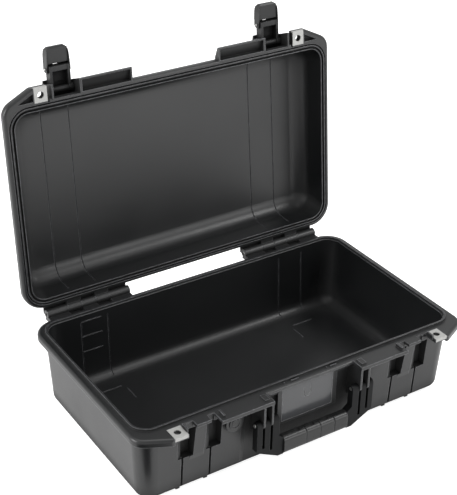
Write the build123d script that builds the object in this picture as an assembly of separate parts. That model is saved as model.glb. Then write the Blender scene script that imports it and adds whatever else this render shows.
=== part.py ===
from build123d import *
import os

# Hinged hard case for a laptop: deep tub, shallow lid, two draw latches, folding carry handle.
#
# Frame: origin on the floor plane under the middle of the tub, +X to the right seen from the
# front, +Y towards the hinges, +Z up. Every lid piece is drawn with the lid shut and is then
# turned about the hinge axis into its open rest position. Millimetres.

# ---------------------------------------------------------------- driving dimensions
inner_length = 520.0        # clear opening along X at the rim
inner_depth = 285.0         # clear opening along Y at the rim
foot_height = 5.0           # feet and stacking pad under the tub
tub_height = 118.0          # underside of the tub floor to the flange face
tub_floor = 4.0             # thickness of the tub floor
lid_depth = 51.0            # inside depth of the lid
lid_roof = 4.0              # thickness of the lid roof
wall = 4.5                  # side and back wall at the rim
front_wall = 8.0            # front wall at the rim, thicker for the fittings
tub_draft = 7.0             # how far the tub wall leans in from rim to floor, per side
lid_draft = 6.0             # the same for the lid
corner_radius = 22.0        # inner corner seen from above
flange_corner = 34.0        # outer flange corner seen from above
flange_width = 14.6         # opening edge to flange edge
flange_thick = 4.0
flange_round = 4.5          # outer edge of each flange face
skirt_height = 10.0         # depth of the turned edge of both flanges
skirt_wall = 3.0
tub_edge_radius = 12.0      # outer radius between wall and floor
tub_inner_radius = 15.0
lid_edge_radius = 20.0
lid_inner_radius = 24.0
roof_corner_growth = 5.0    # lid corners are this much rounder at the roof
panel_margin = 39.0         # edge of the lid roof to its raised panel
panel_corner = 16.0
panel_rise = 2.4
seam_gap = 0.4              # between the two flanges when shut

tongue_offset = 1.6         # from the opening edge to the tub's sealing tongue
tongue_width = 2.6
tongue_height = 3.4
groove_side_gap = 0.5       # between the tongue and the side of the lid groove
groove_depth = 6.4
gasket_diameter = 2.8
trim_groove_offset = 6.6    # outer relief groove in the lid flange
trim_groove_width = 2.2
trim_groove_depth = 4.0

open_angle = 95.7           # from shut to the open stop
hinge_gap = 11.4            # flange edge to hinge axis
hinge_rise = 2.6            # hinge axis above the flange face
knuckle_radius = 6.6
knuckle_inner_end = 105.0   # nearest knuckle end to the middle plane
knuckle_pitch = 23.2
knuckle_clearance = 0.35
knuckle_web = 2.6           # plate behind the other half's knuckles
knuckle_web_gap = 0.9
hinge_pin_radius = 2.5
pin_clearance = 0.05        # radial, every pivot

latch_centre = 177.0        # middle of each latch from the middle plane
latch_width = 38.0
bay_back = 12.5             # back of the latch bay from the opening edge
latch_side_gap = 1.4        # between latch and lid ears
ear_thick = 2.6
ear_radius = 9.5
web_rise = 9.7              # web behind the latch, above the pivot
web_reach = 12.0            # front edge of the web from the pivot
web_thick = 2.4
latch_pivot_out = 18.5      # pivot in front of the opening edge
latch_pivot_up = 21.5       # pivot above the flange face
latch_pin_radius = 2.0
latch_boss_radius = 5.5
arm_barrel_radius = 4.2
hook_reach = 26.6           # pivot to the hook face
hook_thick = 7.2
cheek_thick = 4.0
lever_wall = 2.8
lever_gap = 0.4             # between lever wall and arm cheek
arm_rise = 9.5              # outer face of the arm above the pivot
lever_rise = 12.5           # outer face of the lever above the pivot
lever_pin_rise = 4.0
lever_lip = 1.4             # edge of the lever's outer wall beyond the lever pin
lever_boss_radius = 4.2
spring_bay = 3.4            # half width of the spring pocket in the hook bar
spring_wire = 0.9
spring_coils = 6
lever_pin_reach = 29.6
lever_tip_reach = 61.0
lever_pin_radius = 1.6

strike_width = 22.0
strike_thick = 4.5
strike_out = 23.0           # strike nose in front of the opening edge
post_out = 13.5             # face of the strike post under its nose
post_fade = 14.0            # the post runs out this far below the wells
well_width = 16.0           # deep part of each finger well
well_ramp = 8.0             # leaning side of each finger well
well_depth = 12.0
well_bottom = 60.0
well_drop = 10.0            # top of the wells below the flange face
well_wall = 2.5
seam_line = 22.0            # wells, moulded grooves and lines, from the latch centre
inner_line = 1.2
inner_line_depth = 0.6
foot_nub = 6.0              # width of the nub at each end of a moulded groove
floor_ridge_y = 99.0        # ridge across the tub floor, and the short one square to it
floor_ridge_rise = 0.8
floor_ridge_length = 36.0
back_ladder = (61.0, 87.0, 112.0)       # heights of the short ridges on the back wall
ladder_length = 33.0
line_width = 3.2
line_depth = 3.4

lock_centre = 217.0         # padlock eye from the middle plane
lock_out = 22.0             # padlock eye in front of the opening edge
lock_radius = 5.0
plate_width = 20.0
plate_depth = 22.0
plate_thick = 1.6
plate_lip = 5.0
apron_out = 33.5            # front edge of eyes, shelves and hoods from the opening edge
apron_outer = 231.0         # where the apron starts to fall back to the corner
apron_fall = 21.5           # how far it falls back by the side of the case
apron_corner = 22.0         # radius where it meets the side
apron_side = 56.0           # its reach along the side, from its front edge
ear_recess_depth = 6.0      # hollow beside the lid's padlock plate
ear_rib = 7.5               # rib left standing along the ear's outer edge
eye_thick = 6.0             # padlock eye block
slot_width = 3.0            # slot between latch bay and padlock eye

shelf_inner = 73.0
shelf_outer = 155.5
shelf_thick = 3.4
hood_wall = 2.5
hood_height = 11.5
hood_slope = 16.0           # how far the hood's front leans back from lip to roof
channel_back = 14.0         # back wall of the hood channel, from the opening edge
shelf_ridge = 149.0
shelf_step = 85.0
ridge_back = 15.0           # locating ridges, from the opening edge
ridge_front = 28.0

recess_half = 106.0         # handle recess
recess_depth = 4.5
recess_ramp = 8.0           # sloping end of the recess
recess_top = 13.0           # flange face to the top of the recess
block_half = 50.0           # raised block behind the card holder
block_bottom = 57.0
card_width = 86.0
card_height = 55.0
card_thick = 0.6
window_thick = 2.2
card_bottom = 60.5
card_margin = 3.5
tab_width = 12.0
rim_ribs = ((-41.0, -39.4), (-29.0, -16.0), (30.0, 31.6), (37.0, 48.0))     # X spans
rim_rib_height = 2.0

handle_pivot_out = 25.5     # pivot in front of the opening edge
handle_pivot_height = 87.0
handle_inner = 62.0         # inner face of each arm
handle_outer = 98.0
handle_half_thick = 5.5
grip_half_thick = 8.0
handle_foot = 26.0          # lowest point of the handle above the floor
arm_slope = 0.52            # rise of the arm's underside per mm outwards
handle_pin_radius = 2.5
handle_lug_radius = 7.0
hanger_drop = 26.0          # foot of each hanger on the wall, below the pivot
lug_inner = 74.8            # middle of the inner hanger
lug_outer = 87.6            # middle of the outer hanger
lug_thick = 3.0
lug_side_gap = 0.5
grip_half = 54.0
grip_height = 27.0
grip_skin = 2.0
grip_seams = (-16.5, 7.5, 31.5)
grip_dimple = 11.0          # centre of each dimple before its seam
dimple_radius = 3.4

valve_x = -121.0
valve_z = 92.0
valve_flange_radius = 14.0
valve_seat_radius = 15.5
valve_outer_face = 7.6      # flat outer seat in front of the opening edge
valve_inner_face = 3.6      # flat inner seat behind it
valve_flange_thick = 2.6
valve_thread_radius = 6.0
valve_nut_radius = 10.5     # across the corners, halved
valve_nut_thick = 4.5

# ---------------------------------------------------------------- derived places
half_x = inner_length / 2
half_y = inner_depth / 2
seam = foot_height + tub_height                 # face of the tub flange
well_top = seam - well_drop
lid_face = seam + seam_gap                      # face of the lid flange
floor_top = foot_height + tub_floor
roof_inner = lid_face + lid_depth
roof_outer = roof_inner + lid_roof
out_x = half_x + flange_width
out_y = half_y + flange_width
apron_y = -half_y - apron_out
hinge_y = out_y + hinge_gap
hinge_z = seam + hinge_rise
HINGE = Axis((0, hinge_y, hinge_z), (1, 0, 0))
SIDES = (("left", -1), ("right", 1))


def box(x0, x1, y0, y1, z0, z1):
    """Box from its two corners, in any order along each axis."""
    size = (abs(x1 - x0), abs(y1 - y0), abs(z1 - z0))
    return Pos((x0 + x1) / 2, (y0 + y1) / 2, (z0 + z1) / 2) * Box(*size)


def rod(x0, x1, y, z, radius):
    """Cylinder along X."""
    return Pos((x0 + x1) / 2, y, z) * Rot(0, 90, 0) * Cylinder(radius, abs(x1 - x0))


def upright(x, y, z0, z1, radius):
    """Cylinder along Z."""
    return Pos(x, y, (z0 + z1) / 2) * Cylinder(radius, abs(z1 - z0))


def prism_x(points, x0, x1):
    """Outline of (y, z) points, run along X."""
    face = Plane.YZ * make_face(Polyline(*points, close=True))
    return Pos(min(x0, x1), 0, 0) * extrude(face, abs(x1 - x0), dir=(1, 0, 0))


def slab(x0, x1, y0, y1, radius, z):
    """Rounded rectangle lying at height z."""
    return Pos((x0 + x1) / 2, (y0 + y1) / 2, z) * RectangleRounded(x1 - x0, y1 - y0, radius)


def tray(low, high):
    """Solid between two rounded rectangles."""
    return loft([low, high])


def ring(offset_in, offset_out, z0, z1):
    """Wall that follows the rim between two distances from the opening edge."""
    def outline(offset):
        return RectangleRounded(inner_length + 2 * offset, inner_depth + 2 * offset, corner_radius + offset)
    return extrude(Pos(0, 0, z0) * (outline(offset_out) - outline(offset_in)), z1 - z0)


def apron(z0, z1):
    """Front corner fairing and padlock eye on the right, with its face at z0 and its back at z1."""
    start = lock_centre - plate_width / 2 - 0.6
    end = apron_y + apron_side
    knee = (out_x, apron_y + apron_fall)
    edge = FilletPolyline((apron_outer, apron_y), knee, (out_x, end), radius=apron_corner)
    outline = edge + Polyline((out_x, end), (start, end), (start, apron_y), (apron_outer, apron_y))
    block = extrude(Pos(0, 0, min(z0, z1)) * make_face(outline), abs(z1 - z0))
    face = block.faces().sort_by(Axis.Z)[0 if z0 < z1 else -1]
    rounded = [e for e in face.edges() if e.center().X > apron_outer and e.center().Y < end - 1]
    return fillet(rounded, flange_round)


def ear_recess():
    """Hollow in the lid's ear between the padlock plate, the rim and the rib along the edge."""
    fall = apron_fall / (out_x - apron_outer)
    near = lock_centre + plate_width / 2 + 1.5
    low = apron_y + ear_rib
    high = -out_y + 0.5
    outline = Polyline((near, low), (near, high), (near + (high - low) / fall, high), close=True)
    return extrude(Pos(0, 0, lid_face - 1) * make_face(outline), ear_recess_depth + 1)


def both(right):
    """The right-hand shape and its mirror image."""
    return right + mirror(right, Plane.YZ)


def opened(shape):
    """Turn a lid piece from shut to its open rest position."""
    return shape.rotate(HINGE, -open_angle)


def on_side(shape, side):
    return shape if side > 0 else mirror(shape, Plane.YZ)


# ---------------------------------------------------------------- tub
def front_y(z):
    """Outer face of the tub's front wall at height z."""
    lean = tub_draft * (seam - z) / tub_height
    return -half_y - front_wall + lean


def tub_body():
    low_x = half_x + wall - tub_draft
    low_y = half_y + wall - tub_draft
    low = slab(-low_x, low_x, front_y(foot_height), low_y, corner_radius, foot_height)
    top_x = half_x + wall
    high = slab(-top_x, top_x, front_y(seam), half_y + wall, corner_radius + wall, seam)
    body = tray(low, high)
    bottom = body.faces().sort_by(Axis.Z)[0].edges()
    body = fillet(bottom, tub_edge_radius)
    return body


def tub_cavity(grow=0.0):
    """Inside of the tub; grow pushes its walls and floor outwards."""
    lean = tub_draft * (seam - floor_top) / tub_height - grow
    low = slab(-half_x + lean, half_x - lean, -half_y + lean, half_y - lean, corner_radius - 4,
               floor_top - grow)
    high = slab(-half_x - grow, half_x + grow, -half_y - grow, half_y + grow, corner_radius,
                seam + tongue_height + 1)
    cavity = tray(low, high)
    return fillet(cavity.faces().sort_by(Axis.Z)[0].edges(), tub_inner_radius)


def lid_cavity(grow=0.0):
    """Inside of the lid; grow pushes its walls and roof outwards."""
    lean = lid_draft - grow
    low = slab(-half_x - grow, half_x + grow, -half_y - grow, half_y + grow, corner_radius, lid_face - 1)
    high = slab(-half_x + lean, half_x - lean, -half_y + lean, half_y - lean,
                corner_radius + roof_corner_growth, roof_inner + grow)
    cavity = tray(low, high)
    return fillet(cavity.faces().sort_by(Axis.Z)[-1].edges(), lid_inner_radius)


def inner_lines(cavity):
    """Shallow moulded lines that run right round a hollow, in line with the moulded grooves."""
    lines = None
    for x in (latch_centre - seam_line, latch_centre + seam_line):
        line = both(box(x - inner_line / 2, x + inner_line / 2, -half_y - wall, half_y + wall, 0, roof_outer))
        lines = line if lines is None else lines + line
    return cavity & lines


def flange_ring(z_face, z_back):
    """Flange plate with its turned, rounded edge, grown from z_face towards z_back."""
    low = min(z_face, z_back)
    block = extrude(Pos(0, 0, low) * RectangleRounded(2 * out_x, 2 * out_y, flange_corner), skirt_height)
    face = block.faces().sort_by(Axis.Z)[-1 if z_face > z_back else 0]
    block = fillet(face.edges(), flange_round)
    plate_inner = z_face - flange_thick if z_face > z_back else z_face + flange_thick
    hole = RectangleRounded(2 * (out_x - skirt_wall), 2 * (out_y - skirt_wall), flange_corner - skirt_wall)
    under = extrude(Pos(0, 0, min(plate_inner, z_back)) * hole, skirt_height - flange_thick)
    return block - under


def base_shell():
    shell = tub_body() + flange_ring(seam, seam - skirt_height)
    shell += both(apron(seam, seam - skirt_height))
    # the eye block is thinner than the skirt, and the skirt stops above the card holder
    shell -= both(box(lock_centre - plate_width / 2 - 2, apron_outer - 4, apron_y - 1, -half_y - flange_width,
                      seam - skirt_height - 1, seam - eye_thick))
    shell -= box(-shelf_inner, shelf_inner, -half_y - flange_width - 1, front_y(seam) - 0.01,
                 seam - skirt_height - 1, seam - flange_thick)
    shell -= both(latch_bay(seam - skirt_height - 1, seam + 1))
    seat_x = (lock_centre - plate_width / 2, lock_centre + plate_width / 2)
    shell += both(strike_post())
    # shelf that closes each lid hood
    shell += both(box(shelf_inner, shelf_outer, -half_y - 1, apron_y, seam - shelf_thick, seam))
    shell += both(box(shelf_inner, shelf_outer, apron_y, apron_y + 2.4, seam - shelf_thick - 2, seam))
    # foot nubs at both ends of each moulded groove, and the stacking pad
    for line in (latch_centre - seam_line, latch_centre + seam_line):
        for y0 in (front_y(foot_height) + tub_edge_radius - 3, half_y - tub_draft - 15):
            shell += both(box(line - foot_nub / 2, line + foot_nub / 2, y0, y0 + 12, 0, foot_height + 3))
    pad = RectangleRounded(inner_length * 0.62, inner_depth * 0.5, 14)
    shell += extrude(pad, foot_height + 1)
    # hollow
    shell -= tub_cavity()
    shell -= inner_lines(tub_cavity(inner_line_depth)) & box(
        -half_x, half_x, 0, half_y, floor_top + 2 * inner_line_depth, seam - skirt_height)
    for z in back_ladder:
        y = half_y - tub_draft * (seam - z) / tub_height
        shell += box(-latch_centre - seam_line, -latch_centre - seam_line + ladder_length,
                     y - 0.7, y + 1, z - 0.8, z + 0.8)
    start = latch_centre - seam_line + 3
    low = floor_top - 1
    high = floor_top + floor_ridge_rise
    shell += both(box(start, start + floor_ridge_length, floor_ridge_y - 0.8, floor_ridge_y + 0.8, low, high))
    shell += both(box(start - 6, start - 4.4, floor_ridge_y - floor_ridge_length, floor_ridge_y - 10, low, high))
    # inward walls of the finger wells, the wells, and the grooves below them
    reach = front_y(well_bottom) + well_depth
    for line in groove_places():
        shell += box(line - well_wall, line + well_width + well_wall, -half_y - 2, reach + well_wall,
                     well_bottom - 3, well_top + 3)
    for line in groove_places():
        shell -= finger_well(line)
        shell -= moulded_line(line)
    # handle recess with sloping ends, then the block that carries the card holder
    shell -= handle_recess()
    shell += box(-block_half, block_half, -half_y - 1, front_y(seam) - 0.3, block_bottom, seam)
    shell -= card_pocket()
    # hangers for the carry handle
    for middle in (lug_inner, lug_outer):
        shell += both(handle_hanger(middle))
    shell -= both(rod(handle_inner, handle_outer, -half_y - handle_pivot_out, handle_pivot_height,
                      handle_pin_radius + pin_clearance))
    # sealing tongue
    shell += ring(tongue_offset, tongue_offset + tongue_width, seam - 1, seam + tongue_height)
    # ridges that key into the lid
    ridge_x = lock_centre - plate_width / 2 - slot_width / 2
    back = -half_y - ridge_back
    front = -half_y - ridge_front
    shell += both(box(ridge_x - 1.1, ridge_x + 1.1, back, front, seam - 3, seam + 4.5))
    shell += both(box(shelf_ridge - 1.4, shelf_ridge + 1.4, back, front, seam - 1, seam + 4))
    shell += both(box(shelf_inner + 4, shelf_step, back, front, seam - 1, seam + 2.2))
    rib_y = -half_y - trim_groove_offset - trim_groove_width / 2
    for x0, x1 in rim_ribs:
        shell += box(x0, x1, rib_y - 0.6, rib_y + 0.6, seam - 1, seam + rim_rib_height)
    # padlock seats and holes
    shell -= both(box(seat_x[0], seat_x[1], apron_y, apron_y + plate_depth, seam - plate_thick, seam + 1))
    shell -= both(box(seat_x[0], seat_x[1], apron_y, apron_y + plate_thick, seam - plate_lip - 0.2, seam + 1))
    shell -= both(upright(lock_centre, -half_y - lock_out, seam - 3 * skirt_height, seam + 2, lock_radius))
    # purge valve seat and hole
    shell += valve_disc(valve_seat_radius, -half_y + valve_inner_face, -half_y - valve_outer_face)
    shell -= valve_disc(valve_thread_radius + 0.2, -half_y + 20, -half_y - 20)
    shell += base_knuckles()
    shell -= both(rod(knuckle_inner_end - 1, knuckle_inner_end + 6 * knuckle_pitch + 4, hinge_y, hinge_z,
                      hinge_pin_radius + pin_clearance))
    return shell


def strike_post():
    """Post between the finger wells; its nose stands out over the face and takes the hook."""
    nose = -half_y - strike_out
    low = seam - strike_thick
    foot = well_bottom - post_fade
    return prism_x([(-half_y, seam), (nose, seam), (nose, low), (-half_y - post_out, low),
                    (front_y(well_bottom) - 1, well_bottom), (front_y(foot) + 1, foot), (-half_y, foot)],
                   latch_centre - strike_width / 2, latch_centre + strike_width / 2)


def latch_bay(z0, z1):
    """Gap in a flange that the latch swings through."""
    half = latch_width / 2 + 1.2
    return box(latch_centre - half, latch_centre + half, -half_y - bay_back, apron_y - 10, z0, z1)


def groove_places():
    """Moulded grooves along X, two at each latch."""
    return [side * (latch_centre + offset) for side in (-1, 1) for offset in (-seam_line, seam_line)]


def finger_well(line):
    """Well beside one moulded groove: a leaning left side, then a deep part, open to the front."""
    back = front_y(well_bottom) + well_depth
    face = front_y(well_bottom)
    clear = -half_y - front_wall - 20
    outline = Polyline((line - well_ramp, clear), (line + well_width, clear), (line + well_width, back),
                       (line, back), (line - 1.5, face + 3), (line - well_ramp, face), close=True)
    return extrude(Pos(0, 0, well_bottom) * make_face(outline), well_top - well_bottom)


def moulded_line(line):
    """Narrow groove from the well down to the floor edge."""
    top = well_bottom + 1
    return prism_x([(front_y(top) + line_depth, top), (front_y(top) - 2, top),
                    (front_y(foot_height) - 2, foot_height - 1), (front_y(foot_height) + line_depth, foot_height - 1)],
                   line - line_width / 2, line + line_width / 2)


def valve_disc(radius, y0, y1):
    """Disc about the purge valve axis."""
    return Pos(valve_x, (y0 + y1) / 2, valve_z) * Rot(90, 0, 0) * Cylinder(radius, abs(y1 - y0))


def handle_recess():
    """Shallow recess across the front with sloping ends, following the lean of the wall."""
    top = seam - recess_top
    face = apron_y - 1

    def outline(z):
        y = front_y(z)
        deep = y + recess_depth
        near = recess_half + 2
        floor = recess_half - recess_ramp
        return Pos(0, 0, z) * make_face(Polyline((-near, face), (near, face), (near, y - 0.5), (floor, deep),
                                                 (-floor, deep), (-near, y - 0.5), close=True))
    return loft([outline(foot_height - 1), outline(top)])


def card_pocket():
    front = front_y(seam) - 0.3
    deep = card_thick + window_thick + 0.3
    pocket = box(-card_width / 2, card_width / 2, front - 1, front + deep, card_bottom,
                 card_bottom + card_height + 0.3)
    return pocket


def handle_hanger(middle):
    y = -half_y - handle_pivot_out
    z = handle_pivot_height
    plate = prism_x([(-half_y - 2, seam - 2), (apron_y + 1, seam - 2), (apron_y + 1, seam - 8),
                     (y - handle_lug_radius, z), (y, z - handle_lug_radius), (-half_y - 2, z - hanger_drop)],
                    middle - lug_thick / 2, middle + lug_thick / 2)
    return plate + rod(middle - lug_thick / 2, middle + lug_thick / 2, y, z, handle_lug_radius)


def knuckle_spans():
    """X spans of the five knuckles of one hinge, alternating tub, lid, tub, lid, tub."""
    a = knuckle_inner_end
    first = a + 1.45 * knuckle_pitch
    spans = [(a, first)]
    for i in range(3):
        spans.append((first + i * knuckle_pitch, first + (i + 1) * knuckle_pitch))
    last = first + 3 * knuckle_pitch
    spans.append((last, last + 1.45 * knuckle_pitch))
    return spans


def base_knuckles():
    parts = []
    for x0, x1 in knuckle_spans()[0::2]:
        barrel = rod(x0, x1, hinge_y, hinge_z, knuckle_radius)
        arm = prism_x([(out_y - skirt_wall, seam), (hinge_y, seam), (hinge_y, seam - 4),
                       (out_y - skirt_wall, seam - skirt_height)], x0, x1)
        parts.append(barrel + arm)
    ends = knuckle_spans()
    low = hinge_z - knuckle_radius - knuckle_web_gap
    result = box(ends[0][0], ends[-1][1], out_y - skirt_wall, hinge_y + 3, low - knuckle_web, low)
    for part in parts:
        result += part
    return both(result)


# ---------------------------------------------------------------- lid
def lid_front_y(z):
    return -half_y - wall + lid_draft * (z - lid_face) / (roof_outer - lid_face)


def lid_shell():
    top_x = half_x + wall - lid_draft
    top_y = half_y + wall - lid_draft
    low = slab(-half_x - wall, half_x + wall, -half_y - wall, half_y + wall, corner_radius + wall, lid_face)
    high = slab(-top_x, top_x, -top_y, top_y, corner_radius + roof_corner_growth, roof_outer)
    body = tray(low, high)
    body = fillet(body.faces().sort_by(Axis.Z)[-1].edges(), lid_edge_radius)
    shell = body + flange_ring(lid_face, lid_face + skirt_height)
    # flange is solid over the gasket groove
    shell += ring(0, trim_groove_offset - 0.5, lid_face, lid_face + skirt_height)
    shell += both(apron(lid_face, lid_face + skirt_height))
    shell -= both(latch_bay(lid_face - 1, lid_face + skirt_height + 1))
    for half in (hood(), latch_ears()):
        shell += both(half)
    shell -= both(ear_recess())
    # raised panel on the roof
    panel = slab(-top_x + panel_margin, top_x - panel_margin, -top_y + panel_margin, top_y - panel_margin,
                 panel_corner, roof_outer - 1)
    shell += extrude(panel, panel_rise + 1)
    shell -= lid_cavity()
    shell -= inner_lines(lid_cavity(inner_line_depth)) & box(
        -half_x, half_x, -half_y, half_y, lid_face + skirt_height, roof_outer)
    shell -= both(hood_channel())
    # gasket groove and relief groove
    g0 = tongue_offset - groove_side_gap
    g1 = tongue_offset + tongue_width + groove_side_gap
    shell -= ring(g0, g1, lid_face - 1, lid_face + groove_depth)
    shell -= ring(trim_groove_offset, trim_groove_offset + trim_groove_width, lid_face - 1,
                  lid_face + trim_groove_depth - 1)
    # slots for the tub ridges
    ridge_x = lock_centre - plate_width / 2 - slot_width / 2
    shell -= both(box(ridge_x - slot_width / 2, ridge_x + slot_width / 2, -half_y - 9.5, apron_y - 1,
                      lid_face - 1, lid_face + 12))
    seat_x = (lock_centre - plate_width / 2, lock_centre + plate_width / 2)
    shell -= both(box(seat_x[0], seat_x[1], apron_y, apron_y + plate_depth, lid_face - 1,
                      lid_face + plate_thick))
    shell -= both(box(seat_x[0], seat_x[1], apron_y, apron_y + plate_thick, lid_face - 1,
                      lid_face + plate_lip + 0.2))
    shell -= both(upright(lock_centre, -half_y - lock_out, lid_face - 2, lid_face + 3 * skirt_height,
                          lock_radius))
    y = -half_y - latch_pivot_out
    z = seam + latch_pivot_up
    reach = latch_width / 2 + latch_side_gap + ear_thick + 1
    shell -= both(rod(latch_centre - reach, latch_centre + reach, y, z, latch_pin_radius + pin_clearance))
    # room for the tub knuckles, then the lid's own knuckles
    for x0, x1 in knuckle_spans()[0::2]:
        shell -= both(rod(x0 - knuckle_clearance, x1 + knuckle_clearance, hinge_y, hinge_z,
                          knuckle_radius + 0.6))
    shell += lid_knuckles()
    shell -= both(rod(knuckle_inner_end - 1, knuckle_inner_end + 6 * knuckle_pitch + 4, hinge_y, hinge_z,
                      hinge_pin_radius + pin_clearance))
    return shell


def hood_profile(inset):
    """Side outline of a hood, or of the channel inside it when inset by the wall."""
    roof = lid_face + hood_height - inset
    front = apron_y + inset
    back = -half_y - channel_back if inset else lid_front_y(roof) + 2
    low = lid_face - 1 if inset else lid_face
    return [(back, low), (front, low), (front, lid_face + 3.5), (front + hood_slope, roof), (back, roof)]


def hood():
    return prism_x(hood_profile(0), shelf_inner, shelf_outer)


def hood_channel():
    return prism_x(hood_profile(hood_wall), shelf_inner + hood_wall, shelf_outer - hood_wall)


def latch_ears():
    """Two ears that carry the latch pivot, with a web across the back of the bay."""
    y = -half_y - latch_pivot_out
    z = seam + latch_pivot_up
    gap = latch_width / 2 + latch_side_gap
    ears = None
    for x0, x1 in ((latch_centre - gap - ear_thick, latch_centre - gap),
                   (latch_centre + gap, latch_centre + gap + ear_thick)):
        ear = prism_x([(-half_y - 2, lid_face), (apron_y, lid_face), (apron_y, lid_face + 3),
                       (y - ear_radius, z), (y, z + ear_radius), (-half_y + 2, z + ear_radius + 6)], x0, x1)
        ear += rod(x0, x1, y, z, ear_radius)
        ears = ear if ears is None else ears + ear
    web = prism_x([(-half_y + 1, z + web_rise), (y - web_reach, z + web_rise),
                   (y - web_reach, z + web_rise + web_thick), (-half_y + 1, z + web_rise + 9)],
                  latch_centre - gap - 1, latch_centre + gap + 1)
    return ears + web


def lid_knuckles():
    parts = []
    for x0, x1 in knuckle_spans()[1::2]:
        a = x0 + knuckle_clearance
        b = x1 - knuckle_clearance
        barrel = rod(a, b, hinge_y, hinge_z, knuckle_radius)
        arm = prism_x([(out_y - skirt_wall, lid_face + 1), (hinge_y, hinge_z), (hinge_y, hinge_z + knuckle_radius),
                       (out_y - skirt_wall, lid_face + skirt_height)], a, b)
        parts.append(barrel + arm)
    ends = knuckle_spans()
    low = hinge_z + knuckle_radius + knuckle_web_gap
    result = box(ends[0][0], ends[-1][1], out_y - skirt_wall, hinge_y + 2, low, low + knuckle_web)
    for part in parts:
        result += part
    return both(result)


def lid_gasket():
    """Sealing cord seated in the roof of the lid groove."""
    middle = tongue_offset + tongue_width / 2
    top = lid_face + groove_depth
    half = gasket_diameter / 2
    return ring(middle - half, middle + half, top - gasket_diameter, top)


# ---------------------------------------------------------------- hinge pins and padlock plates
def hinge_pin(side):
    spans = knuckle_spans()
    return on_side(rod(spans[0][0] + 1, spans[-1][1] - 1, hinge_y, hinge_z, hinge_pin_radius), side)


def padlock_plate(side, face, up):
    """Steel angle: a flat with the eye hole and a lip turned over the front edge."""
    x0 = lock_centre - plate_width / 2 + 0.1
    x1 = lock_centre + plate_width / 2 - 0.1
    top = box(x0, x1, apron_y + 0.1, apron_y + plate_depth - 0.1, face, face + up * (plate_thick - 0.1))
    lip = box(x0, x1, apron_y + 0.1, apron_y + plate_thick - 0.1, face, face + up * plate_lip)
    plate = top + lip
    plate -= upright(lock_centre, -half_y - lock_out, face - 10, face + 10, lock_radius)
    return on_side(plate, side)


# ---------------------------------------------------------------- latches, drawn standing out along -Y
def latch_place():
    return -half_y - latch_pivot_out, seam + latch_pivot_up


def latch_arm():
    """Channel that pivots on the lid and carries the hook and the lever."""
    y, z = latch_place()
    half = latch_width / 2
    nose = y - hook_reach - hook_thick
    x0 = latch_centre - half + lever_wall + lever_gap
    cheek = prism_x([(y, z + latch_boss_radius), (y, z - latch_boss_radius + 2), (nose, z - 4),
                     (nose, z + arm_rise), (y - 9, z + arm_rise)], x0, x0 + cheek_thick)
    cheek += rod(latch_centre - half, x0 + cheek_thick, y, z, latch_boss_radius)
    arm = cheek + mirror(cheek, Plane(origin=(latch_centre, 0, 0), z_dir=(1, 0, 0)))
    reach = latch_centre - x0 - 1
    arm += rod(latch_centre - reach, latch_centre + reach, y, z, arm_barrel_radius)
    arm += box(latch_centre - reach, latch_centre + reach, y - 9, nose, z + arm_rise - 2.5, z + arm_rise)
    arm += box(latch_centre - reach, latch_centre + reach, y - hook_reach, nose, z - 3.2, z + arm_rise)
    pin = (y - lever_pin_reach, z + lever_pin_rise)
    arm -= box(latch_centre - spring_bay, latch_centre + spring_bay, pin[0] - 3.1, y - hook_reach + 1,
               pin[1] - 3.7, z + arm_rise + 1)
    arm -= rod(latch_centre - half - 1, latch_centre + half + 1, y, z, latch_pin_radius + pin_clearance)
    arm -= rod(latch_centre - half - 1, latch_centre + half + 1, *pin, lever_pin_radius + pin_clearance)
    return arm


def latch_lever():
    """Finger lever: box-section tongue between two side flanges that straddle the arm."""
    y, z = latch_place()
    half = latch_width / 2
    tip = y - lever_tip_reach
    pin = (y - lever_pin_reach, z + lever_pin_rise)
    top = z + lever_rise
    start = y - lever_pin_reach - 7.3
    lever = prism_x([(start, z + 1), (start, top), (tip + 7, top), (tip + 1, top - 3), (tip, top - 6),
                     (tip, z + 3), (tip + 3, z + 1)], latch_centre - half + 1, latch_centre + half - 1)
    lever -= box(latch_centre - half + lever_wall + 1, latch_centre + half - lever_wall - 1,
                 y, tip + 4, z + 3.5, top - 2.5)
    lever += box(latch_centre - half + lever_wall, latch_centre + half - lever_wall,
                 pin[0] - lever_lip, start - 1, z + arm_rise + 0.6, top)
    lever -= box(latch_centre - spring_bay - 0.4, latch_centre + spring_bay + 0.4,
                 pin[0], start, z + arm_rise, top + 1)
    for x0 in (latch_centre - half, latch_centre + half - lever_wall):
        flange = prism_x([(pin[0] + 5, pin[1] - 4), (pin[0] + 5, pin[1] + 3.5), (pin[0] + 1, top - 1),
                          (start - 8, top - 0.5), (tip + 9, top - 1), (tip + 4, z + 2), (tip + 6, z - 1),
                          (start - 3, z - 1)], x0, x0 + lever_wall)
        lever += flange + rod(x0, x0 + lever_wall, *pin, lever_boss_radius)
    taper = Polyline((half - 1.9, tip + 12), (half + 1, y), (half + 9, y), (half + 9, tip - 2), (half - 8, tip - 2),
                     (half - 8, tip - 0.01), (half - 3.2, tip + 3.5), close=True)
    trim = extrude(Pos(0, 0, z - 6) * make_face(taper), 30)
    for cut in (trim, mirror(trim, Plane.YZ)):
        lever -= Pos(latch_centre, 0, 0) * cut
    lever -= rod(latch_centre - half - 1, latch_centre + half + 1, *pin, lever_pin_radius + pin_clearance)
    return lever


def latch_pin():
    y, z = latch_place()
    reach = latch_width / 2 + latch_side_gap + ear_thick
    return rod(latch_centre - reach, latch_centre + reach, y, z, latch_pin_radius)


def lever_pin():
    y, z = latch_place()
    reach = latch_width / 2 + 0.9
    return rod(latch_centre - reach, latch_centre + reach, y - lever_pin_reach, z + lever_pin_rise,
               lever_pin_radius)


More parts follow.
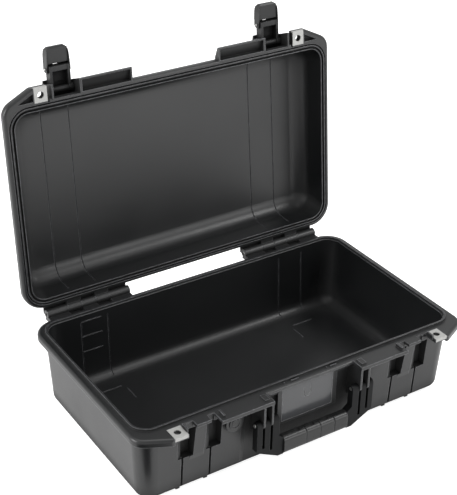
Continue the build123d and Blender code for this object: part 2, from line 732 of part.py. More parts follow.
def lever_spring():
    """Torsion spring on the lever pin: close coils, one leg towards the web, one towards the lever."""
    y, z = latch_place()
    centre = (y - lever_pin_reach, z + lever_pin_rise)
    coil_radius = lever_pin_radius + 0.35 + spring_wire / 2
    coils = None
    for i in range(spring_coils):
        turn = Pos(latch_centre + (i - (spring_coils - 1) / 2) * spring_wire * 0.9, *centre) * Rot(0, 90, 0) \
            * Torus(coil_radius, spring_wire / 2)
        coils = turn if coils is None else coils + turn
    half = (spring_coils - 1) / 2 * spring_wire * 0.9
    foot = Pos(latch_centre + half + 0.1, centre[0] + 1.1, centre[1] - coil_radius + 0.15) \
        * Rot(90, 0, 0) * Cylinder(spring_wire / 2, 4.2)
    finger = upright(latch_centre - half - 0.1, centre[0] - coil_radius + 0.15, centre[1] - 1, centre[1] + 7.5,
                     spring_wire / 2)
    return coils + foot + finger


# ---------------------------------------------------------------- carry handle
def handle_ribs():
    """X spans of the three ribs of one arm, left open for the hangers."""
    gap = lug_thick / 2 + lug_side_gap
    return ((handle_inner, lug_inner - gap), (lug_inner + gap, lug_outer - gap), (lug_outer + gap, handle_outer))


def handle_under(x):
    """Height of the sloping underside of an arm at distance x from the middle plane."""
    return handle_foot + arm_slope * max(0, x - handle_inner - 1)


def handle_frame():
    """One moulding: two ribbed arms joined by the bar inside the grip."""
    y = -half_y - handle_pivot_out
    z = handle_pivot_height
    foot = handle_foot
    outline = Polyline((grip_half, foot), (handle_inner + 1, foot), (handle_outer, handle_under(handle_outer)),
                       (handle_outer, z), (handle_inner, z), (handle_inner, foot + grip_height + 6),
                       (grip_half, foot + grip_height), close=True)
    arm = extrude(Plane(origin=(0, y + handle_half_thick, 0), x_dir=(1, 0, 0), z_dir=(0, -1, 0))
                  * make_face(outline), 2 * handle_half_thick)
    arm += rod(handle_inner, handle_outer, y, z, handle_half_thick)
    for (_, x0), (x1, _) in zip(handle_ribs()[:-1], handle_ribs()[1:]):
        arm -= box(x0, x1, y - 12, y + 12, handle_under(x1) + 8, z + 12)
    frame = both(arm)
    core = grip_height / 2 - grip_skin
    frame += box(-grip_half - 2, grip_half + 2, y - handle_half_thick + 1, y + handle_half_thick - 1,
                 foot + grip_height / 2 - core, foot + grip_height / 2 + core)
    frame -= both(rod(handle_inner - 1, handle_outer + 1, y, z, handle_pin_radius + pin_clearance))
    return frame


def handle_grip():
    """Soft sleeve moulded over the bar."""
    y = -half_y - handle_pivot_out
    middle = handle_foot + grip_height / 2
    core = grip_height / 2 - grip_skin
    outer = Plane.YZ * Pos(y, middle) * RectangleRounded(2 * grip_half_thick, grip_height + 1, 7)
    inner = Plane.YZ * Pos(y, middle) * Rectangle(2 * handle_half_thick - 2, 2 * core)
    grip = Pos(-grip_half, 0, 0) * extrude(outer - inner, 2 * grip_half, dir=(1, 0, 0))
    depth = 0.7
    for x in grip_seams:
        groove = outer - Plane.YZ * Pos(y, middle) * RectangleRounded(
            2 * (grip_half_thick - depth), grip_height + 1 - 2 * depth, 7 - depth)
        grip -= Pos(x - 0.6, 0, 0) * extrude(groove, 1.2, dir=(1, 0, 0))
        grip -= upright(x - grip_dimple, y, middle + grip_height / 2 - 0.6, middle + grip_height, dimple_radius)
    return grip


def handle_pin(side):
    y = -half_y - handle_pivot_out
    pin = rod(handle_inner - 0.5, handle_outer + 2, y, handle_pivot_height, handle_pin_radius)
    return on_side(pin, side)


# ---------------------------------------------------------------- card holder and purge valve
def card_front():
    return front_y(seam) - 0.3


def card_window():
    """Clear cover with a thumb tab slit into it."""
    y = card_front()
    pane = box(-card_width / 2 + 0.15, card_width / 2 - 0.15, y, y + window_thick, card_bottom + 0.1,
               card_bottom + card_height)
    z = card_bottom + card_height * 0.62
    slit = Pos(0, y + window_thick / 2, z) * Rot(90, 0, 0) \
        * (Cylinder(tab_width / 2, 6) - Cylinder(tab_width / 2 - 0.8, 6))
    slit -= box(-tab_width, tab_width, y - 5, y + 5, z, z + tab_width)
    slit += box(-tab_width / 2, -tab_width / 2 + 0.8, y - 3, y + 3, z - 0.5, z + 11)
    slit += box(tab_width / 2 - 0.8, tab_width / 2, y - 3, y + 3, z - 0.5, z + 11)
    return pane - slit


def name_card():
    y = card_front() + window_thick
    return box(-card_width / 2 + card_margin, card_width / 2 - card_margin, y, y + card_thick,
               card_bottom + 1, card_bottom + card_height - 1)


def valve_parts():
    face = -half_y - valve_outer_face
    inner = -half_y + valve_inner_face
    gasket_thick = 1.0
    gasket = valve_disc(valve_flange_radius - 1.5, face, face - gasket_thick) \
        - valve_disc(valve_thread_radius + 0.2, face + 1, face - gasket_thick - 1)
    front = face - gasket_thick
    body = valve_disc(valve_flange_radius, front, front - valve_flange_thick)
    body += valve_disc(valve_thread_radius, front, inner + 7)
    body -= valve_disc(9.5, front - 1.4, front - valve_flange_thick - 1)
    body -= valve_disc(3.5, front + 1, inner + 8)
    for i in range(6):
        body -= Pos(valve_x, front, valve_z) * Rot(0, 60 * i, 0) * Pos(6.6, 0, 0) * Rot(90, 0, 0) \
            * Cylinder(0.9, 0.1)
    cap = valve_disc(9.2, front - 1.4, front - valve_flange_thick - 1.2)
    cap -= valve_disc(7.2, front - valve_flange_thick - 0.6, front - valve_flange_thick - 2) \
        - valve_disc(5.6, front - valve_flange_thick, front - valve_flange_thick - 3)
    membrane = valve_disc(3.5, front + 1, front + 1.8)
    nut = Pos(valve_x, inner + valve_nut_thick / 2, valve_z) * Rot(90, 0, 0) * extrude(
        RegularPolygon(valve_nut_radius, 6), valve_nut_thick / 2, both=True)
    nut -= valve_disc(valve_thread_radius + 0.02, inner - 1, inner + 6)
    return {"valve_gasket": gasket, "valve_body": body, "valve_cap": cap, "valve_membrane": membrane,
            "valve_nut": nut}


# ---------------------------------------------------------------- all nodes
def build():
    nodes = {
        "base_shell": base_shell(),
        "lid_shell": opened(lid_shell()),
        "lid_gasket": opened(lid_gasket()),
        "handle_frame": handle_frame(),
        "handle_grip": handle_grip(),
        "card_window": card_window(),
        "name_card": name_card(),
    }
    nodes.update(valve_parts())
    for name, side in SIDES:
        nodes["hinge_pin_" + name] = hinge_pin(side)
        nodes["padlock_plate_base_" + name] = padlock_plate(side, seam, -1)
        nodes["padlock_plate_lid_" + name] = opened(padlock_plate(side, lid_face, 1))
        nodes["latch_arm_" + name] = opened(on_side(latch_arm(), side))
        nodes["latch_lever_" + name] = opened(on_side(latch_lever(), side))
        nodes["latch_pin_" + name] = opened(on_side(latch_pin(), side))
        nodes["lever_pin_" + name] = opened(on_side(lever_pin(), side))
        nodes["lever_spring_" + name] = opened(on_side(lever_spring(), side))
        nodes["handle_pin_" + name] = handle_pin(side)
    return nodes


os.makedirs("parts", exist_ok=True)
for node, shape in build().items():
    export_step(shape, "parts/" + node + ".step")
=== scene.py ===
import bmesh
import bpy
import math
from mathutils import Matrix, Vector


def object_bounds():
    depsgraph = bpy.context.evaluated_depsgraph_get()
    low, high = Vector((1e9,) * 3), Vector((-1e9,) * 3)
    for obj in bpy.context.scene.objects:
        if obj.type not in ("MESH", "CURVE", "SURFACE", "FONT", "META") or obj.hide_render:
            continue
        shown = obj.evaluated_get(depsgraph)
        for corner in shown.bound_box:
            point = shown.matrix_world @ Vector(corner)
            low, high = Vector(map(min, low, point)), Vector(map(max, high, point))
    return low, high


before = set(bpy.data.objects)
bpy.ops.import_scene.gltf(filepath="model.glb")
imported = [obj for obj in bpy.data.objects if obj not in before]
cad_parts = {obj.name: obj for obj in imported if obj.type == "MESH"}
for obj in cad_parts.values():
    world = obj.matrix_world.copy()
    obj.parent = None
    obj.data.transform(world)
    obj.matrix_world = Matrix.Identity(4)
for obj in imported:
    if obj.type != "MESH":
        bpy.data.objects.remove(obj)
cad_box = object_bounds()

# Base shell: the lower half of the case, injection moulded in black polypropylene copolymer.
# The mould was spark eroded, which leaves a fine, even grain on every outside face, and the
# edges of the ribs and skirts come out of the mould slightly rounded.
CASE_BLACK = "#141516"
# painted highlight: the case's open rounded edges turn towards this lighter tone
CASE_PAINTED_HIGHLIGHT = "#85868a"
CASE_GRAIN = 0.0011         # the real grain is near 0.1 mm; drawn coarser so that it shows
CASE_GRAIN_DEPTH = 0.00006
CASE_EDGE = 0.0016          # the real edges are near 0.5 mm; drawn rounder so that they catch light
CASE_ROUGHNESS = 0.34
CASE_GLOSS = 0.48
POLYMER_IOR = 1.49
EDGE_TURN = (0.985, 0.80)   # cosine of a rounded edge's turn where the painted highlight starts, and is full
HIGHLIGHT_PATCH_NOISE = (0.35, 0.6)   # span of the noise that goes from the faintest painted highlight to the full one
# share of the painted edge highlight where its patches are faintest
FAINTEST_HIGHLIGHT = 0.45
RECESS_REACH = 0.045        # a face with a neighbour this near stands in a recess
OPEN_FACE = (0.42, 0.88)    # how open a face is where it counts as sheltered, and as free
SHADED_RECESS_SHARE = 0.15          # share of its colour that a sheltered face keeps; the rest is painted shade
RECESS_ROUGHNESS = 0.9
CLOUDS_PER_METRE = 9.0      # slow changes of sheen, about 110 mm across
CLOUD_NOISE = (0.3, 0.7)
HIGHLIGHT_PATCHES_PER_METRE = 140.0    # patches of the painted edge highlight, about 7 mm long, that look rubbed
SHEEN_SPREAD = 0.04


def linear(colour):
    """Linear RGBA of an sRGB hex colour."""
    parts = [int(colour[i:i + 2], 16) / 255 for i in (1, 3, 5)]
    return [*[p / 12.92 if p <= 0.04045 else ((p + 0.055) / 1.055) ** 2.4 for p in parts], 1.0]


def add_node(tree, kind, inputs, **settings):
    """Adds a node, sets its settings, and fills each input with a value or a link."""
    node = tree.nodes.new(kind)
    for name, value in settings.items():
        setattr(node, name, value)
    for name, value in inputs.items():
        if isinstance(value, bpy.types.NodeSocket):
            tree.links.new(value, node.inputs[name])
        else:
            node.inputs[name].default_value = value
    return node


def new_material(name):
    """An empty node material, its tree and its output node."""
    material = bpy.data.materials.new(name)
    material.use_nodes = True
    material.node_tree.nodes.clear()
    output = material.node_tree.nodes.new("ShaderNodeOutputMaterial")
    return material, material.node_tree, output


def finish_nodes(material, *names):
    """Gives CAD nodes their finish."""
    for name in names:
        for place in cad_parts[name].material_slots:
            place.material = material


def moulded_polymer(name, dark, painted_highlight_tone, grain, grain_depth, edge, roughness, gloss=0.5, open_face=OPEN_FACE):
    """Moulded polymer: a fine grain, slow changes of sheen, open edges with a painted highlight in
    rubbed-looking patches, and painted shade in recesses, which are also rougher.
    """
    material, tree, output = new_material(name)
    place = add_node(tree, "ShaderNodeTexCoord", {}).outputs["Object"]
    round_edge = add_node(tree, "ShaderNodeBevel", {"Radius": edge}, samples=6)
    flat = add_node(tree, "ShaderNodeNewGeometry", {})

    turned = add_node(tree, "ShaderNodeVectorMath",
                      {0: round_edge.outputs[0], 1: flat.outputs["Normal"]},
                      operation="DOT_PRODUCT")
    edge_mask = add_node(tree, "ShaderNodeMapRange",
                         {"Value": turned.outputs["Value"], "From Min": EDGE_TURN[0],
                          "From Max": EDGE_TURN[1]})
    # Painted shade: faces with a near neighbour, found by ambient occlusion, have their colour darkened,
    # and are also made rougher.
    nearby = add_node(tree, "ShaderNodeAmbientOcclusion", {"Distance": RECESS_REACH}, samples=8)
    openness = add_node(tree, "ShaderNodeMapRange",
                        {"Value": nearby.outputs["AO"], "From Min": open_face[0],
                         "From Max": open_face[1]})
    outer_edge = add_node(tree, "ShaderNodeMath", {0: edge_mask.outputs[0], 1: openness.outputs[0]},
                          operation="MULTIPLY")

    # Painted highlight: open rounded edges are lightened towards the highlight tone, in patches that look
    # rubbed.
    highlight_patches = add_node(tree, "ShaderNodeTexNoise",
                     {"Vector": place, "Scale": HIGHLIGHT_PATCHES_PER_METRE, "Detail": 2.0})
    highlight_patchiness = add_node(tree, "ShaderNodeMapRange",
                      {"Value": highlight_patches.outputs["Fac"], "From Min": HIGHLIGHT_PATCH_NOISE[0],
                       "From Max": HIGHLIGHT_PATCH_NOISE[1], "To Min": FAINTEST_HIGHLIGHT, "To Max": 1.0})
    painted_highlight = add_node(tree, "ShaderNodeMath", {0: outer_edge.outputs[0], 1: highlight_patchiness.outputs[0]},
                    operation="MULTIPLY")
    tone = add_node(tree, "ShaderNodeMix",
                    {"Factor": painted_highlight.outputs[0], "A": linear(dark), "B": linear(painted_highlight_tone)},
                    data_type="RGBA")
    # painted shade: in recesses the colour is scaled down to a small share of itself
    painted_recess_shade = add_node(tree, "ShaderNodeMapRange",
                    {"Value": openness.outputs[0], "To Min": SHADED_RECESS_SHARE, "To Max": 1.0})
    shaded = add_node(tree, "ShaderNodeVectorMath",
                      {0: tone.outputs["Result"], "Scale": painted_recess_shade.outputs[0]}, operation="SCALE")

    pits = add_node(tree, "ShaderNodeTexNoise",
                    {"Vector": place, "Scale": 1 / grain, "Detail": 2.0, "Roughness": 0.6})
    bump = add_node(tree, "ShaderNodeBump",
                    {"Strength": 1.0, "Distance": grain_depth, "Height": pits.outputs["Fac"],
                     "Normal": round_edge.outputs[0]})

    cloud = add_node(tree, "ShaderNodeTexNoise",
                     {"Vector": place, "Scale": CLOUDS_PER_METRE, "Detail": 3.0})
    sheen = add_node(tree, "ShaderNodeMapRange",
                     {"Value": cloud.outputs["Fac"], "From Min": CLOUD_NOISE[0],
                      "From Max": CLOUD_NOISE[1], "To Min": roughness - SHEEN_SPREAD,
                      "To Max": roughness + SHEEN_SPREAD})
    dull = add_node(tree, "ShaderNodeMapRange",
                    {"Value": openness.outputs[0], "To Min": RECESS_ROUGHNESS,
                     "To Max": sheen.outputs[0]})
    shader = add_node(tree, "ShaderNodeBsdfPrincipled",
                      {"Base Color": shaded.outputs[0], "Roughness": dull.outputs[0],
                       "IOR": POLYMER_IOR, "Specular IOR Level": gloss, "Normal": bump.outputs[0]})
    tree.links.new(shader.outputs[0], output.inputs["Surface"])
    return material


case_polymer = moulded_polymer("polypropylene_spark_textured", CASE_BLACK, CASE_PAINTED_HIGHLIGHT, CASE_GRAIN,
                               CASE_GRAIN_DEPTH, CASE_EDGE, CASE_ROUGHNESS, CASE_GLOSS)
finish_nodes(case_polymer, "base_shell")

# Lid shell: the upper half, moulded in the same polymer as the base and standing open on it.
# The same spark eroded mould gives it the same black, fine grained faces.
finish_nodes(case_polymer, "lid_shell")

# Hinge pins: two drawn stainless rods pressed through the knuckles of both shells.
# Drawing leaves them bright, with faint lines along the rod.
STEEL_BRIGHT = "#b4b4b2"
DRAWN_ROUGHNESS = 0.3
# changes per metre along X, Y and Z, so lines run along X, coarser than drawing leaves them
DRAWN_LINES = (40.0, 1500.0, 1500.0)
DRAWN_LINE_DEPTH = 0.000004
METAL_EDGE = 0.0004
LINE_NOISE = (0.25, 0.75)
LINE_SHEEN_SPREAD = 0.08
LINE_TONE = (0.86, 1.06)    # share of its colour in the darkest line and in the lightest


def metal(name, colour, roughness, lines_per_metre, line_depth, metallic=1.0):
    """Metal with fine lines from its working, which change its tone and its sheen a little."""
    material, tree, output = new_material(name)
    place = add_node(tree, "ShaderNodeTexCoord", {}).outputs["Object"]
    stretched = add_node(tree, "ShaderNodeMapping", {"Vector": place, "Scale": lines_per_metre})
    lines = add_node(tree, "ShaderNodeTexNoise",
                     {"Vector": stretched.outputs[0], "Scale": 1.0, "Detail": 3.0})
    sheen = add_node(tree, "ShaderNodeMapRange",
                     {"Value": lines.outputs["Fac"], "From Min": LINE_NOISE[0],
                      "From Max": LINE_NOISE[1], "To Min": roughness - LINE_SHEEN_SPREAD,
                      "To Max": roughness + LINE_SHEEN_SPREAD})
    bright = add_node(tree, "ShaderNodeMapRange",
                      {"Value": lines.outputs["Fac"], "To Min": LINE_TONE[0], "To Max": LINE_TONE[1]})
    tone = add_node(tree, "ShaderNodeVectorMath", {0: linear(colour)[:3], "Scale": bright.outputs[0]},
                    operation="SCALE")
    round_edge = add_node(tree, "ShaderNodeBevel", {"Radius": METAL_EDGE}, samples=4)
    bump = add_node(tree, "ShaderNodeBump",
                    {"Strength": 1.0, "Distance": line_depth, "Height": lines.outputs["Fac"],
                     "Normal": round_edge.outputs[0]})
    shader = add_node(tree, "ShaderNodeBsdfPrincipled",
                      {"Base Color": tone.outputs[0], "Metallic": metallic,
                       "Roughness": sheen.outputs[0], "Normal": bump.outputs[0]})
    tree.links.new(shader.outputs[0], output.inputs["Surface"])
    return material


drawn_steel = metal("stainless_steel_drawn", STEEL_BRIGHT, DRAWN_ROUGHNESS, DRAWN_LINES, DRAWN_LINE_DEPTH)
finish_nodes(drawn_steel, "hinge_pin_left", "hinge_pin_right")

# Lid gasket: an extruded silicone cord laid in the groove of the lid's face.
# Extrusion leaves it smooth and faintly glossy, with only slight ripples.
SEAL_BLACK = "#101011"
# a painted highlight tone for the cord's open rounded edges, barely lighter than its black
SEAL_PAINTED_HIGHLIGHT = "#19191a"
SEAL_GRAIN = 0.002          # ripples of the extruded skin
SEAL_GRAIN_DEPTH = 0.00002
SEAL_EDGE = 0.0006
SEAL_ROUGHNESS = 0.42
seal_rubber = moulded_polymer("silicone_rubber_extruded", SEAL_BLACK, SEAL_PAINTED_HIGHLIGHT, SEAL_GRAIN,
                              SEAL_GRAIN_DEPTH, SEAL_EDGE, SEAL_ROUGHNESS)
finish_nodes(seal_rubber, "lid_gasket")

# Padlock plates: stamped stainless sheet, let into the flange of each shell at the padlock eye,
# so that a shackle bears on steel. The sheet is brushed along the case's length, which leaves it
# satin, and its film of handling keeps it from mirroring like clean metal.
PLATE_STEEL = "#b0b0ae"
PLATE_ROUGHNESS = 0.60
PLATE_LINES = (25.0, 1400.0, 1400.0)    # brush lines near 0.7 mm apart, coarser than real ones
PLATE_LINE_DEPTH = 0.000006
PLATE_METALLIC = 0.7
plate_steel = metal("stainless_steel_brushed_sheet", PLATE_STEEL, PLATE_ROUGHNESS, PLATE_LINES,
                    PLATE_LINE_DEPTH, PLATE_METALLIC)
finish_nodes(plate_steel, "padlock_plate_base_left", "padlock_plate_base_right",
             "padlock_plate_lid_left", "padlock_plate_lid_right")

# Latches: a hooked arm on a pin in the lid and a lever hinged at its end, with a torsion spring
# between them. Arm and lever are moulded in glass filled nylon, which is a little smoother than
# the shells but dull beside them. Their pins are drawn steel, and the spring is drawn wire.
LATCH_BLACK = "#131415"
# a painted highlight tone for the latches' open rounded edges
LATCH_PAINTED_HIGHLIGHT = "#5c5d60"
LATCH_GRAIN = 0.0016        # coarser than the real mould's texture, so that it shows
LATCH_GRAIN_DEPTH = 0.00003
LATCH_EDGE = 0.0009
LATCH_ROUGHNESS = 0.30
LATCH_GLOSS = 0.32
latch_nylon = moulded_polymer("nylon_glass_filled_moulded", LATCH_BLACK, LATCH_PAINTED_HIGHLIGHT, LATCH_GRAIN,
                              LATCH_GRAIN_DEPTH, LATCH_EDGE, LATCH_ROUGHNESS, LATCH_GLOSS)
SPRING_STEEL = "#9a9a96"
SPRING_ROUGHNESS = 0.34
SPRING_LINES = (60.0, 900.0, 900.0)
SPRING_LINE_DEPTH = 0.000003
spring_steel = metal("spring_steel_wire_drawn", SPRING_STEEL, SPRING_ROUGHNESS, SPRING_LINES,
                     SPRING_LINE_DEPTH)
for side in ("left", "right"):
    finish_nodes(latch_nylon, f"latch_arm_{side}", f"latch_lever_{side}")
    finish_nodes(drawn_steel, f"latch_pin_{side}", f"lever_pin_{side}")
    finish_nodes(spring_steel, f"lever_spring_{side}")

# Carrying handle: a ribbed frame on two steel pins, with a soft grip moulded over its bar. The
# frame is glass filled nylon from a matt mould. The grip is thermoplastic rubber, just as black,
# whose smooth lands shine along the finger ridges.
HANDLE_BLACK = "#0e0f10"
# a painted highlight tone for the frame's open rounded edges
HANDLE_PAINTED_HIGHLIGHT = "#4a4b4d"
HANDLE_GRAIN = 0.0014       # coarser than the real mould's texture, so that it shows
HANDLE_GRAIN_DEPTH = 0.00004
HANDLE_EDGE = 0.0012
HANDLE_ROUGHNESS = 0.48
HANDLE_GLOSS = 0.12
handle_nylon = moulded_polymer("nylon_glass_filled_textured", HANDLE_BLACK, HANDLE_PAINTED_HIGHLIGHT, HANDLE_GRAIN,
                               HANDLE_GRAIN_DEPTH, HANDLE_EDGE, HANDLE_ROUGHNESS, HANDLE_GLOSS)
finish_nodes(handle_nylon, "handle_frame")
finish_nodes(drawn_steel, "handle_pin_left", "handle_pin_right")
GRIP_BLACK = "#0e0f0f"
# a painted highlight tone for the grip's open rounded edges
GRIP_PAINTED_HIGHLIGHT = "#606163"
GRIP_GRAIN = 0.0009         # coarser than the real rubber's skin, so that it shows
GRIP_GRAIN_DEPTH = 0.00004
GRIP_EDGE = 0.0016
GRIP_ROUGHNESS = 0.26
GRIP_GLOSS = 0.4
grip_rubber = moulded_polymer("thermoplastic_rubber_overmoulded", GRIP_BLACK, GRIP_PAINTED_HIGHLIGHT, GRIP_GRAIN,
                              GRIP_GRAIN_DEPTH, GRIP_EDGE, GRIP_ROUGHNESS, GRIP_GLOSS)
finish_nodes(grip_rubber, "handle_grip")

# Card holder: a blank uncoated paper card behind a snap-in polycarbonate window under the flange.
# The window is tinted so grey that the card doesn't show through, so it is drawn opaque. It is
# polished, and its edges carry a pale painted highlight. It sits in a recess, and still counts as open, so
# it gets little painted shade.
WINDOW_GREY = "#4a4b4d"
# the pale painted highlight on the window's edges
WINDOW_PAINTED_EDGE_HIGHLIGHT = "#e8e9ea"
WINDOW_GRAIN = 0.006        # slow waves left in the sheet by its mould
WINDOW_GRAIN_DEPTH = 0.00001
WINDOW_EDGE = 0.0009
WINDOW_ROUGHNESS = 0.16
WINDOW_GLOSS = 0.5
WINDOW_OPEN_FACE = (0.0, 0.3)
window = moulded_polymer("polycarbonate_smoke_tinted", WINDOW_GREY, WINDOW_PAINTED_EDGE_HIGHLIGHT, WINDOW_GRAIN,
                         WINDOW_GRAIN_DEPTH, WINDOW_EDGE, WINDOW_ROUGHNESS, WINDOW_GLOSS, WINDOW_OPEN_FACE)
finish_nodes(window, "card_window")


def matt_sheet(name, tones, depth, roughness, kind, inputs, **settings):
    """A thin matt sheet. One pattern node, of this kind, sets both its tone and its relief."""
    material, tree, output = new_material(name)
    place = add_node(tree, "ShaderNodeTexCoord", {}).outputs["Object"]
    figure = add_node(tree, kind, {"Vector": place, **inputs}, **settings)
    tone = add_node(tree, "ShaderNodeMix",
                    {"Factor": figure.outputs["Fac"], "A": linear(tones[0]), "B": linear(tones[1])},
                    data_type="RGBA")
    bump = add_node(tree, "ShaderNodeBump", {"Distance": depth, "Height": figure.outputs["Fac"]})
    shader = add_node(tree, "ShaderNodeBsdfPrincipled",
                      {"Base Color": tone.outputs["Result"], "Roughness": roughness,
                       "Normal": bump.outputs[0]})
    tree.links.new(shader.outputs[0], output.inputs["Surface"])
    return material


CARD_TONES = ("#a3a39f", "#bdbdb9")
CARD_FIBRES_PER_METRE = 900.0           # fibres near 1 mm long, coarser than real ones
CARD_FIBRE_DEPTH = 0.00002
CARD_ROUGHNESS = 0.85
card = matt_sheet("card_uncoated_paper", CARD_TONES, CARD_FIBRE_DEPTH, CARD_ROUGHNESS,
                  "ShaderNodeTexNoise", {"Scale": CARD_FIBRES_PER_METRE, "Detail": 4.0})
finish_nodes(card, "name_card")

# Purge valve: a moulded body through the front wall with a rubber washer, a woven vent membrane,
# a cap and a nut inside. Body, cap and nut are moulded acetal, smooth and satin, with rims that
# catch the light and carry a painted highlight. The membrane is white, in a fine diagonal weave.
ACETAL_BLACK = "#161718"
# a painted highlight tone for the valve's open rounded rims
ACETAL_PAINTED_HIGHLIGHT = "#6a6b6e"
ACETAL_GRAIN = 0.003        # slow waves left by the mould
ACETAL_GRAIN_DEPTH = 0.00002
ACETAL_EDGE = 0.0008
ACETAL_ROUGHNESS = 0.30
ACETAL_GLOSS = 0.45
ACETAL_OPEN_FACE = (0.1, 0.5)   # the valve sits under the flange, where its rims still shine, with little painted shade
valve_acetal = moulded_polymer("acetal_moulded", ACETAL_BLACK, ACETAL_PAINTED_HIGHLIGHT, ACETAL_GRAIN,
                               ACETAL_GRAIN_DEPTH, ACETAL_EDGE, ACETAL_ROUGHNESS, ACETAL_GLOSS,
                               ACETAL_OPEN_FACE)
finish_nodes(valve_acetal, "valve_body", "valve_cap", "valve_nut")
finish_nodes(seal_rubber, "valve_gasket")
MEMBRANE_TONES = ("#d4d4d0", "#ecece8")
MEMBRANE_WAVE = 400.0                   # bands about 1 mm apart, coarser than the real weave
MEMBRANE_DEPTH = 0.00005
MEMBRANE_ROUGHNESS = 0.8
membrane = matt_sheet("ptfe_membrane_woven", MEMBRANE_TONES, MEMBRANE_DEPTH, MEMBRANE_ROUGHNESS,
                      "ShaderNodeTexWave", {"Scale": MEMBRANE_WAVE, "Distortion": 0.5},
                      bands_direction="DIAGONAL")
finish_nodes(membrane, "valve_membrane")

# Studio floor: a sheet of white card that runs on past the view. It glows for the camera and for
# reflections until it is nearly white, and the object's own shadow stays on it, faintly.
FLOOR_HALF = 7.0
FLOOR_WHITE = "#f4f4f4"
FLOOR_GLOW = 0.84


def seen_directly(tree):
    """1 for rays of the camera and for those that a gloss or a glass sends on, 0 for the rest."""
    ray = add_node(tree, "ShaderNodeLightPath", {})
    seen = add_node(tree, "ShaderNodeMath",
                    {0: ray.outputs["Is Camera Ray"], 1: ray.outputs["Is Glossy Ray"]},
                    operation="MAXIMUM")
    seen = add_node(tree, "ShaderNodeMath",
                    {0: seen.outputs[0], 1: ray.outputs["Is Transmission Ray"]},
                    operation="MAXIMUM")
    return seen.outputs[0]


def stage_sheet(name, outline, height, material):
    """A flat sheet of the studio with this outline, at this height."""
    sheet = bmesh.new()
    sheet.faces.new([sheet.verts.new((x, y, height)) for x, y in outline])
    mesh = bpy.data.meshes.new(name)
    sheet.to_mesh(mesh)
    sheet.free()
    mesh.materials.append(material)
    piece = bpy.data.objects.new(name, mesh)
    bpy.context.scene.collection.objects.link(piece)
    return piece


floor_card, tree, output = new_material("white_card_floor")
diffuse = add_node(tree, "ShaderNodeBsdfDiffuse", {"Color": linear(FLOOR_WHITE), "Roughness": 0.6})
glow = add_node(tree, "ShaderNodeEmission", {"Color": (1.0, 1.0, 1.0, 1.0), "Strength": FLOOR_GLOW})
lifted = add_node(tree, "ShaderNodeAddShader", {0: diffuse.outputs[0], 1: glow.outputs[0]})
shown = add_node(tree, "ShaderNodeMixShader",
                 {"Fac": seen_directly(tree), 1: diffuse.outputs[0], 2: lifted.outputs[0]})
tree.links.new(shown.outputs[0], output.inputs["Surface"])
stage_sheet("studio_floor", [(-FLOOR_HALF, -FLOOR_HALF), (FLOOR_HALF, -FLOOR_HALF),
                             (FLOOR_HALF, FLOOR_HALF), (-FLOOR_HALF, FLOOR_HALF)], 0.0, floor_card)

# Black flag: a card that lies on the floor off the case's front left corner. It shows only in
# reflections, where it keeps that corner dark between the two bright walls.
FLAG_BLACK = "#080808"
FLAG_HEIGHT = 0.0005
FLAG_OUTLINE = ((-0.010, 0.011), (-0.285, -0.024), (-0.245, -0.244), (-0.065, -0.324), (0.020, -0.014))
flag_card, tree, output = new_material("black_flag_card")
felt = add_node(tree, "ShaderNodeBsdfDiffuse", {"Color": linear(FLAG_BLACK)})
tree.links.new(felt.outputs[0], output.inputs["Surface"])
corner_x, corner_y = cad_box[0][0], cad_box[0][1]
flag = stage_sheet("black_flag", [(corner_x + x, corner_y + y) for x, y in FLAG_OUTLINE], FLAG_HEIGHT,
                   flag_card)
flag.visible_camera = False
flag.visible_diffuse = False
flag.visible_shadow = False

# Studio light: four square soft boxes and a pale room round them. The room lights the object
# softly, and is white where the camera, a gloss or a glass looks at it.
ROOM_LIGHT = 0.30
ROOM_WHITE = 1.0
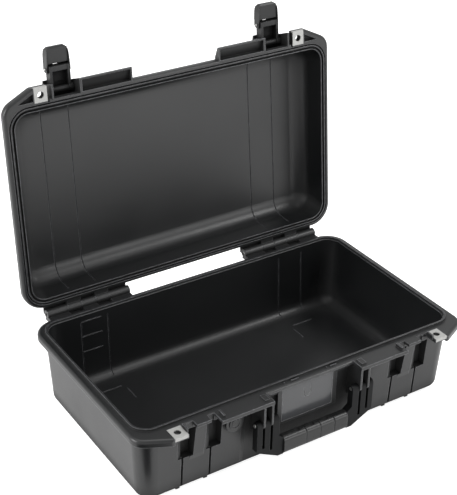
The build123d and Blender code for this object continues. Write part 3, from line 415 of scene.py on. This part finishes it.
# each box's name, its place, the point it is turned to, its side in metres and its power in watts
SOFT_BOXES = (
    ("soft_box_left", (-2.4, 0.4, 1.2), (0.0, 0.0, 0.1), 1.4, 52.0),
    ("soft_box_right", (1.7, -1.3, 2.2), (0.0, 0.2, 0.2), 0.9, 26.0),
    ("soft_box_front", (1.2, -2.4, 0.6), (0.0, 0.2, 0.3), 1.2, 16.0),
    ("soft_box_top", (0.2, 0.4, 3.0), (0.0, 0.0, 0.0), 2.0, 24.0))
world = bpy.data.worlds.new("pale_room")
bpy.context.scene.world = world
world.use_nodes = True
tree = world.node_tree
tree.nodes.clear()
output = tree.nodes.new("ShaderNodeOutputWorld")
strength = add_node(tree, "ShaderNodeMapRange",
                    {"Value": seen_directly(tree), "To Min": ROOM_LIGHT, "To Max": ROOM_WHITE})
background = add_node(tree, "ShaderNodeBackground",
                      {"Color": (1.0, 1.0, 1.0, 1.0), "Strength": strength.outputs[0]})
tree.links.new(background.outputs[0], output.inputs["Surface"])
for name, place, target, side, power in SOFT_BOXES:
    lamp = bpy.data.lights.new(name, "AREA")
    lamp.shape = "SQUARE"
    lamp.size = side
    lamp.energy = power
    soft_box = bpy.data.objects.new(name, lamp)
    soft_box.location = place
    soft_box.rotation_mode = "QUATERNION"
    soft_box.rotation_quaternion = (Vector(target) - Vector(place)).to_track_quat("-Z", "Y")
    bpy.context.scene.collection.objects.link(soft_box)

# Camera: a long lens from the front left, above the open case, on a frame of 457 by 495 points.
# Its shift places the case in that frame.
EYE = Vector((-0.8745, -1.2674, 1.1308))
YAW, PITCH, ROLL = math.radians(31.778), math.radians(27.906), math.radians(0.295)
FRAME_HIGH = 495
FOCAL = 1256.43             # in points of the frame
SENSOR_WIDTH = 36.0
SHIFT_X, SHIFT_Y = 0.0661, -0.0847
ahead = Vector((math.sin(YAW) * math.cos(PITCH), math.cos(YAW) * math.cos(PITCH), -math.sin(PITCH)))
level = Vector((math.cos(YAW), -math.sin(YAW), 0.0))
above = level.cross(ahead)
right = math.cos(ROLL) * level + math.sin(ROLL) * above
up = math.cos(ROLL) * above - math.sin(ROLL) * level
lens = bpy.data.cameras.new("long_lens")
lens.sensor_width = SENSOR_WIDTH
lens.lens = FOCAL * SENSOR_WIDTH / FRAME_HIGH
lens.shift_x = SHIFT_X
lens.shift_y = SHIFT_Y
camera = bpy.data.objects.new("camera", lens)
camera.matrix_world = Matrix.Translation(EYE) @ Matrix((right, up, -ahead)).transposed().to_4x4()
bpy.context.scene.collection.objects.link(camera)
bpy.context.scene.camera = camera
bpy.context.scene.view_settings.view_transform = "Standard"
